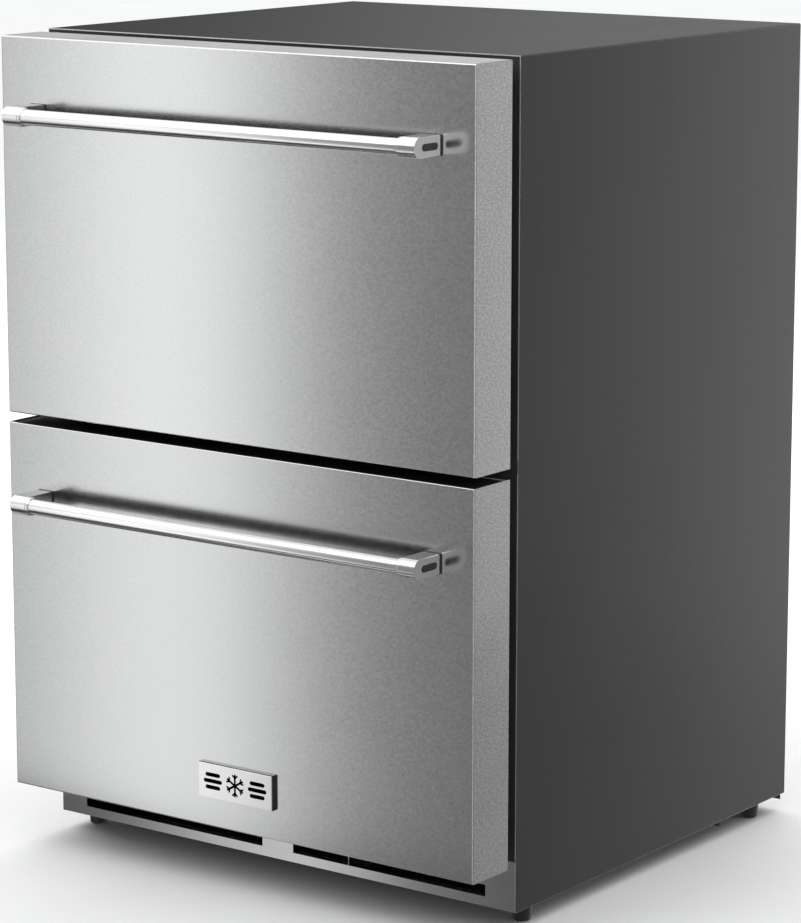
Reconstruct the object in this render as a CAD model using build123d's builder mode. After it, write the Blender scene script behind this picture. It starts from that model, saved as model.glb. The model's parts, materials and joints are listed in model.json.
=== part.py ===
"""Under-counter refrigerator with two full-width drawers.

Frame: +Z up, front towards -Y, origin at the floor under the middle of the whole object.
Units are millimetres. Each sub-part is one function and is written as one STEP file.
"""

import os

from build123d import *

# ---------------------------------------------------------------- driving dimensions
WIDTH = 595.0
HEIGHT = 863.0
CABINET_DEPTH = 520.5
FRONT_GAP = 13.8  # space between the cabinet and a drawer front, filled by the gasket
FRONT_THICK = 58.7
HANDLE_REACH = 44.0
FOOT_GAP = 20.0  # floor to the underside of the cabinet
SHEET = 1.0
FIT = 0.1  # clearance round a sheet that is let into the wrapper

FRONT_HEIGHT = 391.0
FRONT_BOTTOM = 67.6  # underside of the lower drawer front
FRONT_SPACE = 10.3  # gap between the two drawer fronts
HANDLE_DROP = 77.6  # top of a drawer front to its handle's axis

WALL = 46.5  # insulated wall, sheet and liner left out
LINER = 2.0
LINER_CORNER = 12.0  # inside radius where the liner's back meets floor and ceiling
FLOOR_Z = 110.0  # inside floor of the cold space
STEP_Z = 302.0  # inside floor above the machine space
CEILING_Z = 816.0
RISER_Y = 48.0  # inside face of the step's upright wall
COLD_BACK_Y = 270.0

MULLION_LOW = 434.0
MULLION_HIGH = 494.0

RUNNER_LENGTH = 376.0
RUNNER_HEIGHT = 46.0
RUNNER_SHEET = 1.5
UPPER_RUNNER_Z = 560.0
LOWER_RUNNER_Z = 320.0

BAR_R = 8.0
POST_R = 10.0
POST_OUTER_X = 258.2
POST_INNER_X = 238.5
PAD = 1.5
PAD_OVERHANG = 0.2  # how far a pad stands out round its post

BADGE_X = (-42.2, 53.7)
BADGE_Z = (99.2, 136.0)
BADGE_THICK = 5.2

FOOT_R = 11.0
FOOT_TOP = 19.2
STUD_R = 4.0
STUD_FIT = 0.05
FOOT_X = 279.0
FOOT_FRONT_INSET = 37.5
FOOT_BACK_INSET = 45.0

# ---------------------------------------------------------------- places worked out from them
HALF_W = WIDTH / 2
INNER_X = HALF_W - SHEET
DEPTH = CABINET_DEPTH + FRONT_GAP + FRONT_THICK + HANDLE_REACH
BACK_Y = DEPTH / 2
CABINET_Y = BACK_Y - CABINET_DEPTH  # the cabinet's front edge
FRONT_BACK_Y = CABINET_Y - FRONT_GAP  # rear of the drawer fronts
FACE_Y = FRONT_BACK_Y - FRONT_THICK  # outer face of the drawer fronts
BAR_Y = FACE_Y - HANDLE_REACH + POST_R

FRAME_Y = CABINET_Y + 0.5
FRAME_BACK_Y = FRAME_Y + 12.0
LINER_X = HALF_W - SHEET - WALL  # outside of the liner's side walls
COLD_X = LINER_X - LINER
KICK_TOP = 71.8
FRAME_LOW = KICK_TOP + 0.2
FRAME_HIGH = HEIGHT - SHEET - FIT
PAN_Z = FOOT_GAP + SHEET
PAN_TOP = PAN_Z + 1.2
REAR_SHEET_Y = BACK_Y - 2.0  # front face of the sheets that close the back
FOAM_BACK_Y = REAR_SHEET_Y - SHEET
MACHINE_Y = 95.0
MACHINE_TOP = 256.0

LOWER_Z = (FRONT_BOTTOM, FRONT_BOTTOM + FRONT_HEIGHT)
UPPER_Z = (LOWER_Z[1] + FRONT_SPACE, LOWER_Z[1] + FRONT_SPACE + FRONT_HEIGHT)
PLATE_Y = FRONT_BACK_Y - 0.5  # rear face of the drawer's inner panel, round its plug
PLATE_THICK = 2.5
PLUG_WALL = 3.0
CAP_OUTER = 1.5  # end of a drawer front to its cap's outer face
CAP_INNER = 4.5
PLUG_X = 240.0
PLUG_Y = -190.0
UPPER_PLUG_Z = (500.0, 790.0)
LOWER_PLUG_Z = (116.0, 428.0)

BIN_X = COLD_X - 16.0
BIN_SHEET = 1.2
BIN_BEND = 14.0  # outside radius of a bin's rear corners
BIN_RIM = 6.0
BIN_RIM_SHEET = 1.5
UPPER_BIN_Y = (PLUG_Y, 176.0)
UPPER_BIN_Z = (504.0, 744.0)
LOWER_BIN_Y = (PLUG_Y, 36.0)
LOWER_BIN_Z = (118.0, 386.0)
RUNNER_Y = (-186.0, -186.0 + RUNNER_LENGTH)

FOOT_PLACES = {
    "foot_front_left": (-FOOT_X, CABINET_Y + FOOT_FRONT_INSET),
    "foot_front_right": (FOOT_X, CABINET_Y + FOOT_FRONT_INSET),
    "foot_rear_left": (-FOOT_X, BACK_Y - FOOT_BACK_INSET),
    "foot_rear_right": (FOOT_X, BACK_Y - FOOT_BACK_INSET),
}

PANEL_X = (-85.0, 85.0)  # control panel under the ceiling
PANEL_Y = (-196.0, -160.0)
PANEL_Z = (796.0, CEILING_Z)
WINDOW_X = (-72.0, 10.0)
WINDOW_Z = (799.5, 812.5)
WINDOW_RECESS = 1.0
BUTTON_Z = 806.0
BUTTON_R = 4.5
BUTTON_PLACES = {"power_button": 26.0, "colder_button": 46.0, "warmer_button": 66.0}

COVER_Y = 196.0  # front face of the evaporator's cover
COVER_THICK = 2.0
EVAPORATOR_FAN = (0.0, 206.0, 735.0)  # centre of the hub's front face
CONDENSER_FAN = (190.0, 166.0, 124.0)
SHAFT_R = 2.0
GLAND = (230.0, 60.0)  # x and z of the cord gland in the back
GLAND_BORE_R = 4.0
GLAND_R = 8.0
GLAND_HOLE_R = 8.2
GLAND_INSIDE = 16.0  # length behind the rear sheet

SCREW_R = 1.6
SCREW_HOLE_R = 1.65
SCREW_HEAD_R = 3.0
BACK_SCREWS = [(x, z) for x in (-289.5, 289.5) for z in (280.0, 470.0, 660.0, 845.0)]
GRILLE_SCREWS = [(x, z) for x in (-289.5, 289.5) for z in (40.0, 236.0)]
FRAME_SCREWS = [(x, 130.0) for x in (-293.6, 293.6)]


# ---------------------------------------------------------------- helpers
def save(builder, node):
    """Labels the finished piece and writes it as its node's STEP file."""
    builder.part.label = node
    export_step(builder.part, f"parts/{node}.step")


def save_solids(solids, node):
    """Labels the solids of one node and writes them as its STEP file."""
    group = Compound(children=solids)
    group.label = node
    export_step(group, f"parts/{node}.step")


def slab(x, y, z, mode=Mode.ADD):
    """A box between two limits on each axis, in the part being built."""
    with Locations(((x[0] + x[1]) / 2, (y[0] + y[1]) / 2, (z[0] + z[1]) / 2)):
        Box(x[1] - x[0], y[1] - y[0], z[1] - z[0], mode=mode)


def rod(start, axis, length, radius, mode=Mode.ADD):
    """A round bar or bore from a start point along an axis, in the part being built."""
    with Locations(Plane(origin=start, z_dir=axis)):
        Cylinder(radius, length, align=(Align.CENTER, Align.CENTER, Align.MIN), mode=mode)


def boards(limits):
    """One box-shaped solid for each set of x, y and z limits."""
    solids = []
    for x, y, z in limits:
        with BuildPart() as board:
            slab(x, y, z)
        solids.append(board.part.solid())
    return solids


def both_sides(limits):
    """The same limits on the left and on the right of the middle plane."""
    return [limits, (-limits[1], -limits[0])]


# ---------------------------------------------------------------- cabinet
def outer_wrapper():
    """Sides and top folded from one sheet, with flanges for the floor pan and the back."""
    floor_flange = 12.0
    back_flange = 14.0
    with BuildPart() as wrapper:
        with BuildSketch(Plane.XZ.offset(-CABINET_Y)):
            with Locations((0, (FOOT_GAP + HEIGHT) / 2)):
                outer = Rectangle(WIDTH, HEIGHT - FOOT_GAP)
            fillet(outer.vertices().group_by(Axis.Y)[-1], 2.0)
            with Locations((0, (FOOT_GAP + HEIGHT - SHEET) / 2)):
                Rectangle(WIDTH - 2 * SHEET, HEIGHT - FOOT_GAP - SHEET, mode=Mode.SUBTRACT)
        extrude(amount=-CABINET_DEPTH)
        for x in both_sides((INNER_X - floor_flange, INNER_X)):
            slab(x, (CABINET_Y + 2.0, FOAM_BACK_Y), (FOOT_GAP, PAN_Z))
        for x in both_sides((INNER_X - back_flange, INNER_X)):
            slab(x, (FOAM_BACK_Y, REAR_SHEET_Y), (PAN_TOP + FIT, HEIGHT - SHEET))
        top_flange_z = (HEIGHT - SHEET - back_flange, HEIGHT - SHEET)
        slab((-INNER_X, INNER_X), (FOAM_BACK_Y, REAR_SHEET_Y), top_flange_z)
        for x, z in BACK_SCREWS + GRILLE_SCREWS:
            rod((x, FOAM_BACK_Y - 1.0, z), (0, 1, 0), 4.0, SCREW_HOLE_R, Mode.SUBTRACT)
    save(wrapper, "outer_wrapper")


def back_panel():
    """Sheet that closes the back above the machine space, with pressed ribs."""
    rib_half_width = 7.0
    rib_z = (300.0, 820.0)
    with BuildPart() as panel:
        slab(
            (-INNER_X + FIT, INNER_X - FIT),
            (REAR_SHEET_Y, REAR_SHEET_Y + SHEET),
            (MACHINE_TOP - 1.5, HEIGHT - SHEET - FIT),
        )
        for x in (-180.0, -60.0, 60.0, 180.0):
            rib_x = (x - rib_half_width, x + rib_half_width)
            slab(rib_x, (REAR_SHEET_Y + SHEET, BACK_Y - 0.2), rib_z)
        chamfer(panel.edges().filter_by(Axis.Z).group_by(Axis.Y)[-1], 0.6)
        for x, z in BACK_SCREWS:
            rod((x, REAR_SHEET_Y - 1.0, z), (0, 1, 0), 4.0, SCREW_HOLE_R, Mode.SUBTRACT)
    save(panel, "back_panel")


def rear_grille():
    """Louvred cover of the machine space, with a hole for the cord gland."""
    slots_middle = (-20.0, 140.0)
    slot_pitch = (130.0, 14.0)
    slot_count = (3, 12)
    with BuildPart() as grille:
        slab(
            (-INNER_X + FIT, INNER_X - FIT),
            (REAR_SHEET_Y, REAR_SHEET_Y + SHEET),
            (PAN_TOP + FIT, MACHINE_TOP - 1.8),
        )
        with BuildSketch(Plane.XZ.offset(-REAR_SHEET_Y)):
            with Locations(slots_middle):
                with GridLocations(*slot_pitch, *slot_count):
                    SlotOverall(100.0, 6.0)
        extrude(amount=-SHEET, mode=Mode.SUBTRACT)
        rod((GLAND[0], REAR_SHEET_Y - 1.0, GLAND[1]), (0, 1, 0), 4.0, GLAND_HOLE_R, Mode.SUBTRACT)
        for x, z in GRILLE_SCREWS:
            rod((x, REAR_SHEET_Y - 1.0, z), (0, 1, 0), 4.0, SCREW_HOLE_R, Mode.SUBTRACT)
    save(grille, "rear_grille")


def cord_gland():
    """Gland with a flange outside, a nut inside and a bore for the supply cord."""
    x, z = GLAND
    inside_y = REAR_SHEET_Y - GLAND_INSIDE
    flange_r = GLAND_R + 4.0
    with BuildPart() as gland:
        rod((x, inside_y, z), (0, 1, 0), GLAND_INSIDE + SHEET, GLAND_R)
        rod((x, REAR_SHEET_Y + SHEET, z), (0, 1, 0), SHEET, flange_r)
        with BuildSketch(Plane(origin=(x, REAR_SHEET_Y, z), z_dir=(0, -1, 0))):
            RegularPolygon(flange_r, 6)
        extrude(amount=5.0)
        rod((x, inside_y - 1.0, z), (0, 1, 0), GLAND_INSIDE + 4.0, GLAND_BORE_R, Mode.SUBTRACT)
    save(gland, "cord_gland")


def base_pan():
    """Floor sheet with a weld nut for each levelling foot."""
    nut_r = 7.5
    nut_height = 6.5
    with BuildPart() as pan:
        slab(
            (-INNER_X + FIT, INNER_X - FIT),
            (CABINET_Y + 3.0, REAR_SHEET_Y - FIT),
            (PAN_Z, PAN_TOP),
        )
        for place in FOOT_PLACES.values():
            with BuildSketch(Plane.XY.offset(PAN_TOP)):
                with Locations(place):
                    RegularPolygon(nut_r, 6)
            extrude(amount=nut_height)
            with BuildSketch(Plane.XY.offset(PAN_Z)):
                with Locations(place):
                    Circle(STUD_R + STUD_FIT)
            extrude(amount=10.0, mode=Mode.SUBTRACT)
    save(pan, "base_pan")


def rear_channel():
    """Channel across the underside that carries the rear feet."""
    y = (188.0, REAR_SHEET_Y)
    web_x = INNER_X - 12.1
    flange_x = 294.0
    flange_thick = 1.5
    with BuildPart() as channel:
        slab((-web_x, web_x), y, (FOOT_GAP - 0.5, PAN_Z))
        for start in (y[0], y[1] - flange_thick):
            flange_y = (start, start + flange_thick)
            slab((-flange_x, flange_x), flange_y, (FOOT_GAP - 7.5, FOOT_GAP))
        for name in ("foot_rear_left", "foot_rear_right"):
            with BuildSketch(Plane.XY.offset(FOOT_GAP - 1.0)):
                with Locations(FOOT_PLACES[name]):
                    Circle(STUD_R + 0.5)
            extrude(amount=4.0, mode=Mode.SUBTRACT)
    save(channel, "rear_channel")


def kick_grille():
    """Plate under the drawers with two long air slots, each with a folded lower lip."""
    slots = ((-263.2, -21.4), (18.9, 261.1))
    slot_z = (30.0, 42.2)
    with BuildPart() as kick:
        slab((-INNER_X + FIT, INNER_X - FIT), (CABINET_Y, CABINET_Y + SHEET), (FOOT_GAP, KICK_TOP))
        slab(
            (-INNER_X + FIT, INNER_X - FIT),
            (CABINET_Y + SHEET, CABINET_Y + 11.0),
            (KICK_TOP - SHEET, KICK_TOP),
        )
        for x in slots:
            slab(x, (CABINET_Y, CABINET_Y + SHEET), slot_z, Mode.SUBTRACT)
            slab(x, (CABINET_Y + SHEET, CABINET_Y + 10.0), (slot_z[0] - SHEET, slot_z[0]))
    save(kick, "kick_grille")


def air_baffle():
    """Upright strip that keeps the intake air apart from the exhaust air."""
    x = 81.8
    y = (CABINET_Y + 11.2, MACHINE_Y)
    with BuildPart() as baffle:
        slab((x, x + SHEET), y, (PAN_TOP, KICK_TOP - SHEET - 0.2))
        slab((x + SHEET, x + 10.2), y, (PAN_TOP, PAN_TOP + SHEET))
    save(baffle, "air_baffle")


def front_frame():
    """Black frame round the cold space, which the drawer gaskets close against."""
    middle = (FRAME_LOW + FRAME_HIGH) / 2
    with BuildPart() as frame:
        with BuildSketch(Plane.XZ.offset(-FRAME_Y)):
            with Locations((0, middle)):
                RectangleRounded(2 * INNER_X - 0.2, FRAME_HIGH - FRAME_LOW, 1.5)
            with Locations((0, (FLOOR_Z + CEILING_Z) / 2)):
                RectangleRounded(2 * COLD_X, CEILING_Z - FLOOR_Z, 6.0, mode=Mode.SUBTRACT)
            with Locations(*FRAME_SCREWS):
                Circle(SCREW_HOLE_R, mode=Mode.SUBTRACT)
        extrude(amount=-(FRAME_BACK_Y - FRAME_Y))
    save(frame, "front_frame")


def centre_mullion():
    """Hollow bar between the two drawers, which both gaskets close against."""
    y = (FRAME_Y, -162.0)
    z = (MULLION_LOW, MULLION_HIGH)
    wall = 3.0
    with BuildPart() as mullion:
        slab((-COLD_X + FIT, COLD_X - FIT), y, z)
        fillet(mullion.edges().filter_by(Axis.X), 2.0)
        with BuildSketch(Plane.YZ.offset(-COLD_X)):
            with Locations(((y[0] + y[1]) / 2, (z[0] + z[1]) / 2)):
                Rectangle(y[1] - y[0] - 2 * wall, z[1] - z[0] - 2 * wall)
        extrude(amount=2 * COLD_X, mode=Mode.SUBTRACT)
    save(mullion, "centre_mullion")


def cold_section(margin):
    """Corner points of the cold space seen from the side, grown by a margin."""
    return [
        (FRAME_BACK_Y, FLOOR_Z - margin),
        (RISER_Y + margin, FLOOR_Z - margin),
        (RISER_Y + margin, STEP_Z - margin),
        (COLD_BACK_Y + margin, STEP_Z - margin),
        (COLD_BACK_Y + margin, CEILING_Z + margin),
        (FRAME_BACK_Y, CEILING_Z + margin),
    ]


def inner_liner():
    """Moulded liner of the cold space, stepped at the back over the machine space."""
    with BuildPart() as liner:
        for half_width, margin, mode in ((LINER_X, LINER, Mode.ADD), (COLD_X, 0.0, Mode.SUBTRACT)):
            with BuildSketch(Plane.YZ.offset(-half_width)) as section:
                with BuildLine():
                    Polyline(*cold_section(margin), close=True)
                make_face()
                if mode is Mode.SUBTRACT:
                    fillet(section.vertices().group_by(Axis.X)[-1], LINER_CORNER)
            extrude(amount=2 * half_width, mode=mode)
    save(liner, "inner_liner")


def insulation():
    """Foam of the walls as boards that meet face to face."""
    foam_x = INNER_X - 0.5
    foam_top = HEIGHT - SHEET - 0.5
    back = (COLD_BACK_Y + LINER, FOAM_BACK_Y)
    across = (-LINER_X, LINER_X)
    limits = [
        (across, (FRAME_BACK_Y, FOAM_BACK_Y), (CEILING_Z + LINER, foam_top)),
        (across, back, (STEP_Z - LINER, CEILING_Z + LINER)),
        (across, (FRAME_BACK_Y, RISER_Y + LINER), (FRAME_LOW, FLOOR_Z - LINER)),
        (across, (RISER_Y + LINER, MACHINE_Y), (FRAME_LOW, STEP_Z - LINER)),
        (across, (MACHINE_Y, FOAM_BACK_Y), (MACHINE_TOP, STEP_Z - LINER)),
    ]
    for x in both_sides((LINER_X, foam_x)):
        limits.append((x, (FRAME_BACK_Y, FOAM_BACK_Y), (STEP_Z - LINER, foam_top)))
        limits.append((x, (FRAME_BACK_Y, MACHINE_Y), (FRAME_LOW, STEP_Z - LINER)))
        limits.append((x, (MACHINE_Y, FOAM_BACK_Y), (MACHINE_TOP, STEP_Z - LINER)))
    save_solids(boards(limits), "insulation")


def cabinet_screws():
    """Pan-head screws of the back, the rear grille and the front frame."""
    with BuildPart() as screws:
        for x, z in BACK_SCREWS + GRILLE_SCREWS:
            rod((x, FOAM_BACK_Y, z), (0, 1, 0), 2 * SHEET, SCREW_R)
            rod((x, REAR_SHEET_Y + SHEET, z), (0, 1, 0), SHEET, SCREW_HEAD_R)
        for x, z in FRAME_SCREWS:
            rod((x, FRAME_Y, z), (0, 1, 0), 8.0, SCREW_R)
            rod((x, FRAME_Y, z), (0, -1, 0), 0.4, 2.4)
    save(screws, "cabinet_screws")


# ---------------------------------------------------------------- cold side
def evaporator_cover():
    """Panel in front of the evaporator, with a fan outlet and return slots."""
    fan_x, _, fan_z = EVAPORATOR_FAN
    y = (COVER_Y, COVER_Y + COVER_THICK)
    with BuildPart() as cover:
        slab((-COLD_X + 0.5, COLD_X - 0.5), y, (STEP_Z + 0.2, CEILING_Z - 0.2))
        with BuildSketch(Plane.XZ.offset(-COVER_Y)):
            with Locations((fan_x, fan_z)):
                for radius in (16.0, 26.0, 36.0, 46.0):
                    for quarter in range(4):
                        with Locations(Rotation(0, 0, 90.0 * quarter + 45.0)):
                            SlotArc(
                                CenterArc((0, 0), radius, -34.0, 68.0, mode=Mode.PRIVATE), 4.4
                            )
            with Locations((0, 330.0)):
                with GridLocations(30.0, 12.0, 13, 2):
                    SlotOverall(22.0, 5.0)
        extrude(amount=-COVER_THICK, mode=Mode.SUBTRACT)
    save(cover, "evaporator_cover")


def finned_coil(node, x, y, z, fins, rows, feet=()):
    """Fin-and-tube block: plates across looped tubes, with optional feet under it."""
    thick = 0.8
    tube_r = 4.0
    overhang = 6.0
    pitch = (x[1] - x[0] - thick) / (fins - 1)
    row_gap = (z[1] - z[0]) / rows
    near = y[0] + (y[1] - y[0]) * 0.28
    far = y[0] + (y[1] - y[0]) * 0.72
    left = x[0] - overhang
    right = x[1] + overhang
    bend = (far - near) / 2
    with BuildPart() as coil:
        for index in range(fins):
            start = x[0] + index * pitch
            slab((start, start + thick), y, z)
        for row in range(rows):
            height = z[0] + (row + 0.5) * row_gap
            with BuildLine(Plane.XY.offset(height)) as loop:
                Line((left, near), (right, near))
                ThreePointArc((right, near), (right + bend, near + bend), (right, far))
                Line((right, far), (left, far))
                ThreePointArc((left, far), (left - bend, near + bend), (left, near))
            with BuildSketch(Plane(origin=(left, near, height), z_dir=(1, 0, 0))):
                Circle(tube_r)
            sweep(path=loop.line)
        for foot_x in feet:
            slab(foot_x, y, (PAN_TOP, z[0]))
    save(coil, node)


def evaporator_coil():
    """Cold coil behind the evaporator cover."""
    finned_coil("evaporator_coil", (-170.0, 170.0), (214.0, 260.0), (400.0, 640.0), 24, 6)


def fan_frame(centre, inner_r, size, depth, can):
    """Square fan housing with four arms and a motor can, open along Y.

    centre is the middle of the housing's front face; can is the motor's radius and length.
    """
    x, y, z = centre
    can_r, can_length = can
    slab((x - size / 2, x + size / 2), (y, y + depth), (z - size / 2, z + size / 2))
    rod((x, y, z), (0, 1, 0), depth, inner_r, Mode.SUBTRACT)
    for half_x, half_z in ((inner_r + 1.0, 3.0), (3.0, inner_r + 1.0)):
        slab((x - half_x, x + half_x), (y + depth - 3.0, y + depth), (z - half_z, z + half_z))
    rod((x, y + depth - 3.0, z), (0, 1, 0), can_length, can_r)
    rod((x, y + 2.0, z), (0, 1, 0), depth - 2.0, SHAFT_R)


def fan_rotor(centre, hub_r, tip_r, depth, blades):
    """Axial rotor: hub with a shaft bore, and twisted blades. centre is on its front face."""
    x, y, z = centre
    blade_length = tip_r - hub_r + 1.0
    rod(centre, (0, 1, 0), depth, hub_r)
    for index in range(blades):
        spin = Rotation(0, 360.0 * index / blades, 0)
        with Locations(Location(centre) * Location((0, depth / 2, 0)) * spin):
            with Locations(Location((0, 0, hub_r - 1.0 + blade_length / 2), (0, 0, 30.0))):
                Box(hub_r * 1.3, 1.2, blade_length)
    rod((x, y - 1.0, z), (0, 1, 0), depth + 2.0, SHAFT_R + STUD_FIT, Mode.SUBTRACT)


def evaporator_fan_set():
    """Motor with its housing behind the evaporator cover, and the rotor on its shaft."""
    x, y, z = EVAPORATOR_FAN
    with BuildPart() as motor:
        fan_frame((x, COVER_Y + COVER_THICK + 0.2, z), 50.0, 112.0, 22.0, (18.0, 24.0))
    save(motor, "evaporator_fan_motor")
    with BuildPart() as rotor:
        fan_rotor((x, y, z), 14.0, 47.0, 9.0, 5)
    save(rotor, "evaporator_fan")


def lamp_lens():
    """Diffuser of the lamp strip on the ceiling."""
    with BuildPart() as lens:
        slab((-130.0, 130.0), (-140.0, -122.0), (CEILING_Z - 5.0, CEILING_Z))
        fillet(lens.edges().filter_by(Axis.X).group_by(Axis.Z)[0], 3.0)
    save(lens, "lamp_lens")


# ---------------------------------------------------------------- control panel
def control_housing():
    """Housing under the ceiling with a window recess and three button holes."""
    wall = 2.0
    with BuildPart() as housing:
        slab(PANEL_X, PANEL_Y, PANEL_Z)
        fillet(housing.edges().filter_by(Axis.Z), 4.0)
        slab(
            (PANEL_X[0] + wall, PANEL_X[1] - wall),
            (PANEL_Y[0] + wall, PANEL_Y[1] - wall),
            (PANEL_Z[0] + wall, PANEL_Z[1] - 1.0),
            Mode.SUBTRACT,
        )
        recess_y = (PANEL_Y[0], PANEL_Y[0] + WINDOW_RECESS)
        slab(WINDOW_X, recess_y, WINDOW_Z, Mode.SUBTRACT)
        for x in BUTTON_PLACES.values():
            start = (x, PANEL_Y[0] - 1.0, BUTTON_Z)
            rod(start, (0, 1, 0), 4.0, BUTTON_R + 0.3, Mode.SUBTRACT)
    save(housing, "control_housing")


def display_lens():
    """Dark window of the temperature display."""
    with BuildPart() as lens:
        slab(
            (WINDOW_X[0] + 0.2, WINDOW_X[1] - 0.2),
            (PANEL_Y[0] - 0.3, PANEL_Y[0] + WINDOW_RECESS),
            (WINDOW_Z[0] + 0.2, WINDOW_Z[1] - 0.2),
        )
    save(lens, "display_lens")


def control_board():
    """Circuit board behind the buttons."""
    board_y = PANEL_Y[0] + 14.0
    switch = 3.0  # half width of a switch
    with BuildPart() as board:
        slab((-80.0, 80.0), (board_y, board_y + 1.6), (798.5, 814.5))
        for x in BUTTON_PLACES.values():
            switch_x = (x - switch, x + switch)
            slab(switch_x, (board_y - 2.0, board_y), (BUTTON_Z - switch, BUTTON_Z + switch))
    save(board, "control_board")


def buttons():
    """Three round push buttons, each held behind the housing's wall by a collar."""
    for name, x in BUTTON_PLACES.items():
        with BuildPart() as button:
            rod((x, PANEL_Y[0] - 1.2, BUTTON_Z), (0, 1, 0), 11.0, BUTTON_R)
            rod((x, PANEL_Y[0] + 2.3, BUTTON_Z), (0, 1, 0), 1.2, BUTTON_R + 1.2)
            fillet(button.edges().filter_by(GeomType.CIRCLE).group_by(Axis.Y)[0], 0.6)
        save(button, name)


# ---------------------------------------------------------------- machine space
COMPRESSOR_X = -160.0
COMPRESSOR_Y = 205.0
PLATE_SHEET = 3.0
PLATE_Z = 36.0
CAN_TOP = 176.0
CAN_R = 68.0


def compressor():
    """Welded compressor can on a foot plate, with a terminal box."""
    with BuildPart() as body:
        can_z = PLATE_Z + PLATE_SHEET
        rod((COMPRESSOR_X, COMPRESSOR_Y, can_z), (0, 0, 1), CAN_TOP - can_z, CAN_R)
        fillet(body.edges().filter_by(GeomType.CIRCLE), 24.0)
    with BuildPart() as can:
        add(body.part)
        with BuildSketch(Plane.XY.offset(PLATE_Z)):
            with Locations((COMPRESSOR_X, COMPRESSOR_Y)):
                RectangleRounded(170.0, 130.0, 12.0)
        extrude(amount=PLATE_SHEET)
        rod((COMPRESSOR_X, COMPRESSOR_Y, 108.0), (0, 0, 1), 4.0, CAN_R + 3.0)
        slab(
            (COMPRESSOR_X - CAN_R - 24.0, COMPRESSOR_X - CAN_R + 4.0),
            (COMPRESSOR_Y - 24.0, COMPRESSOR_Y + 24.0),
            (84.0, 140.0),
        )
        rod((COMPRESSOR_X, COMPRESSOR_Y, CAN_TOP - 4.0), (0, 0, 1), 4.0, 40.0)
    save(can, "compressor")


def compressor_grommets():
    """Four rubber mounts between the floor pan and the compressor's foot plate."""
    with BuildPart() as grommets:
        with BuildSketch(Plane.XY.offset(PAN_TOP)):
            with Locations((COMPRESSOR_X, COMPRESSOR_Y)):
                with GridLocations(136.0, 96.0, 2, 2):
                    Circle(12.0)
        extrude(amount=PLATE_Z - PAN_TOP)
    save(grommets, "compressor_grommets")


def drip_tray():
    """Tray on the compressor that collects and dries off the melt water."""
    height = 28.0
    sheet = 2.0
    length, width, corner = 160.0, 150.0, 14.0
    with BuildPart() as tray:
        with BuildSketch(Plane.XY.offset(CAN_TOP)):
            with Locations((COMPRESSOR_X, COMPRESSOR_Y)):
                RectangleRounded(length, width, corner)
        extrude(amount=height)
        with BuildSketch(Plane.XY.offset(CAN_TOP + sheet)):
            with Locations((COMPRESSOR_X, COMPRESSOR_Y)):
                RectangleRounded(length - 2 * sheet, width - 2 * sheet, corner - sheet)
        extrude(amount=height, mode=Mode.SUBTRACT)
    save(tray, "drip_tray")


def condenser_coil():
    """Warm coil at the intake side of the machine space, on two feet."""
    feet = ((107.0, 120.0), (260.0, 273.0))
    finned_coil("condenser_coil", (108.0, 272.0), (112.0, 156.0), (34.0, 214.0), 14, 5, feet)


def condenser_fan_set():
    """Fan housing with its motor behind the warm coil, and the rotor on its shaft."""
    x, y, z = CONDENSER_FAN
    with BuildPart() as motor:
        fan_frame((x, 158.0, z), 78.0, 176.0, 28.0, (24.0, 34.0))
        slab((x - 60.0, x + 60.0), (158.0, 186.0), (PAN_TOP, z - 87.0))
    save(motor, "condenser_fan_motor")
    with BuildPart() as rotor:
        fan_rotor((x, y, z), 20.0, 74.0, 14.0, 5)
    save(rotor, "condenser_fan")


def refrigerant_lines():
    """Discharge line to the warm coil, and suction and liquid lines up into the foam."""
    can_x = COMPRESSOR_X + CAN_R + 3.2
    coil_x = 87.8
    routes = [
        [(can_x, 190, 100), (-40, 190, 100), (-40, 190, 52), (-40, 134, 52), (coil_x, 134, 52)],
        [(can_x, 220, 130), (-30, 220, 130), (-30, 290, 130), (-30, 290, MACHINE_TOP)],
        [(coil_x, 134, 196), (40, 134, 196), (40, 230, 196), (40, 230, MACHINE_TOP)],
    ]
    solids = []
    for route in routes:
        with BuildPart() as pipe:
            with BuildLine() as path:
                FilletPolyline(*route, radius=14.0)
            with BuildSketch(path.line ^ 0):
                Circle(3.0)
            sweep()
        solids.append(pipe.part.solid())
    save_solids(solids, "refrigerant_lines")


# ---------------------------------------------------------------- feet
def levelling_feet():
    """Four feet on threaded studs, each turning in its weld nut."""
    for name, (x, y) in FOOT_PLACES.items():
        with BuildPart() as foot:
            rod((x, y, 0), (0, 0, 1), FOOT_TOP, FOOT_R)
            chamfer(foot.edges().filter_by(GeomType.CIRCLE).group_by(Axis.Z)[0], 3.0, 1.2)
            fillet(foot.edges().filter_by(GeomType.CIRCLE).group_by(Axis.Z)[-1], 1.0)
            rod((x, y, FOOT_TOP - 1.0), (0, 0, 1), 16.0, STUD_R)
        save(foot, name)


# ---------------------------------------------------------------- drawer runners
def runner(z0, inset, web_x, lip_x):
    """One member: a web and two lips, as the same solid on both sides.

    inset is the member's distance inside the outer member's height; web_x and lip_x are
    the x limits of the web and of the lips on the right-hand side.
    """
    z = (z0 + inset, z0 + RUNNER_HEIGHT - inset)
    solids = []
    for web, lip in zip(both_sides(web_x), both_sides(lip_x)):
        with BuildPart() as member:
            slab(web, RUNNER_Y, z)
            slab(lip, RUNNER_Y, (z[0], z[0] + RUNNER_SHEET))
            slab(lip, RUNNER_Y, (z[1] - RUNNER_SHEET, z[1]))
        solids.append(member.part.solid())
    return solids


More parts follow.
